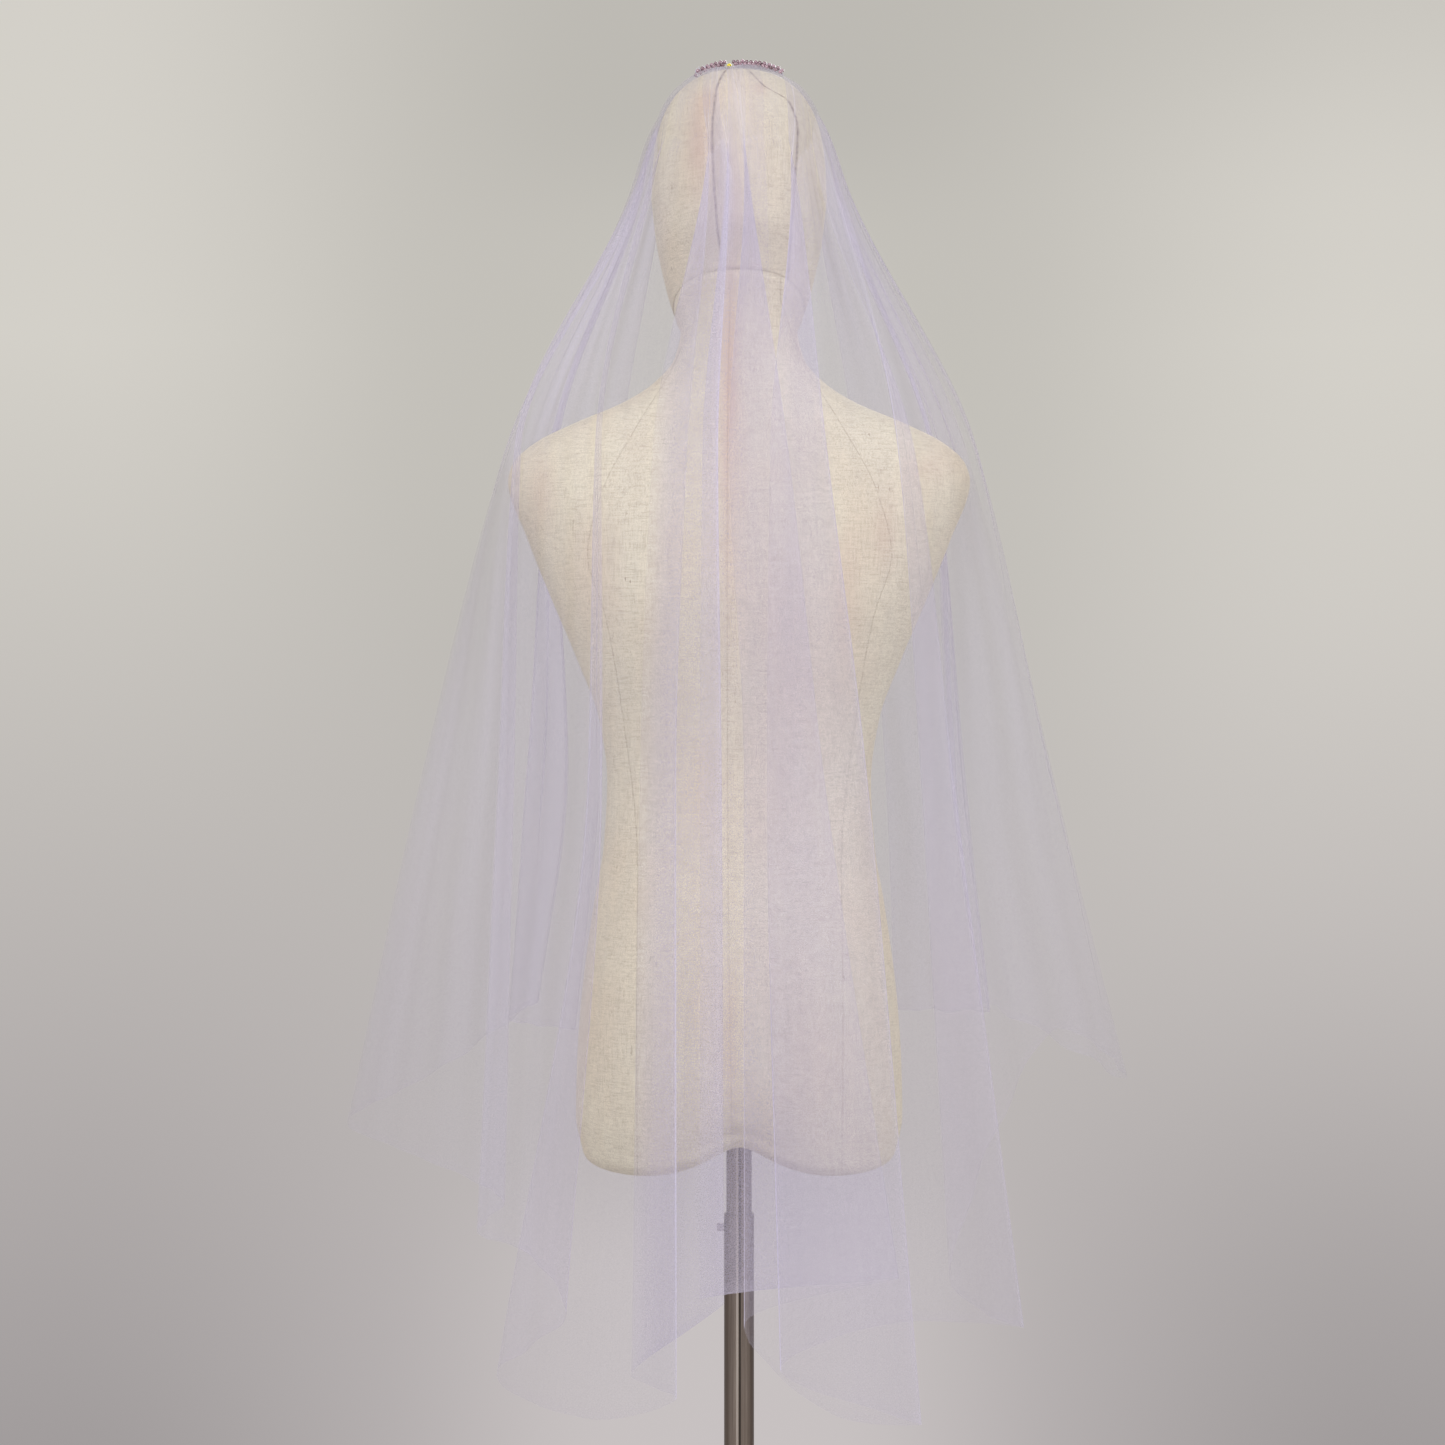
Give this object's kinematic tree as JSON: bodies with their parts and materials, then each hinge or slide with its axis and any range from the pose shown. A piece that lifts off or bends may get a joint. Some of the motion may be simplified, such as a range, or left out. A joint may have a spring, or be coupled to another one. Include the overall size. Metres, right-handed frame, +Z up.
{
  "type": "bridal veil on a limbless dress form with stand",
  "caption": "Soft tulle bridal veil gathered on a beaded comb, hanging in pleats over a blank-headed limbless linen dress form on a telescoping floor stand",
  "frame": {"origin": "Middle of the base's underside, on the pole's axis, where the stand meets the floor", "axes": "+Z up; the form's back, which the picture shows, faces -Y and its front +Y; +X is the right-hand side seen from behind"},
  "size_m": [0.678, 0.3665, 1.702],
  "materials": {
    "veil_tulle": "soft pale lilac tulle, raw cut edge",
    "heading_ribbon": "gathered tulle and ribbon band, lavender",
    "comb_plastic": "clear plastic, smooth",
    "bead_pearl": "mauve pearl, satin gloss",
    "pin_head": "yellow, glossy",
    "form_linen": "cream linen with slubs, matte",
    "stand_steel": "drawn along its length, satin"
  },
  "bodies": {
    "stand": {"stand_base": "stand_steel", "stand_sleeve": "stand_steel", "stand_lock": "stand_steel"},
    "form": {"stand_pole": "stand_steel", "form_torso": "form_linen", "form_head": "form_linen", "comb": "comb_plastic", "veil_heading": "heading_ribbon", "bead_row": "bead_pearl", "ball_pin": "pin_head", "veil_panel": "veil_tulle"}
  },
  "joints": [
    {"name": "height_slide", "type": "slide", "parent": "stand", "child": "form", "axis": [0, 0, 1], "range_m": [-0.05, 0.2]}
  ]
}
